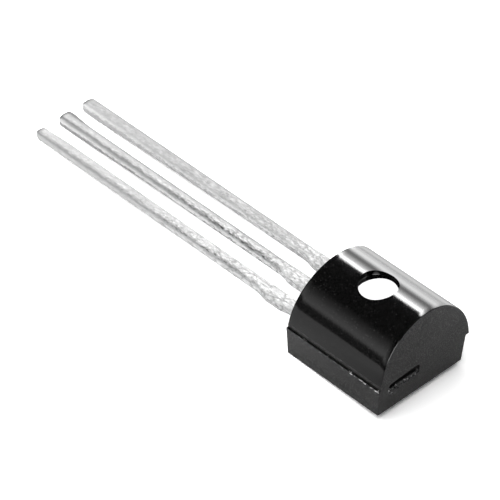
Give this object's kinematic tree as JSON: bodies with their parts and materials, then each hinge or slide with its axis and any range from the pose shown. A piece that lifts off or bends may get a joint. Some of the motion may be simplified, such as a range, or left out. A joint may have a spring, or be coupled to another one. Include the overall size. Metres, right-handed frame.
{
  "type": "transistor in a half-round moulded package",
  "caption": "Half-round black moulded transistor lying on its flat face, with parallel tinned strip leads and, sealed inside, a chip on its flag and bond wires.",
  "frame": {"origin": "on the flat face, below the middle lead's axis and midway along the body", "axes": "-X along the leads towards their tips, +Y across the row of leads, +Z from the flat face to the top of the barrel"},
  "size_m": [0.0193, 0.0047, 0.0035],
  "materials": {
    "moulding_compound": "satin",
    "tinned_strip": "satin",
    "solder_layer": "matte",
    "silicon": "polished",
    "bond_gold": "polished"
  },
  "bodies": {
    "root": {"moulded_body": "moulding_compound", "emitter_lead": "tinned_strip", "collector_lead": "tinned_strip", "base_lead": "tinned_strip", "die_attach": "solder_layer", "silicon_die": "silicon", "emitter_wire": "bond_gold", "base_wire": "bond_gold"}
  },
  "joints": []
}
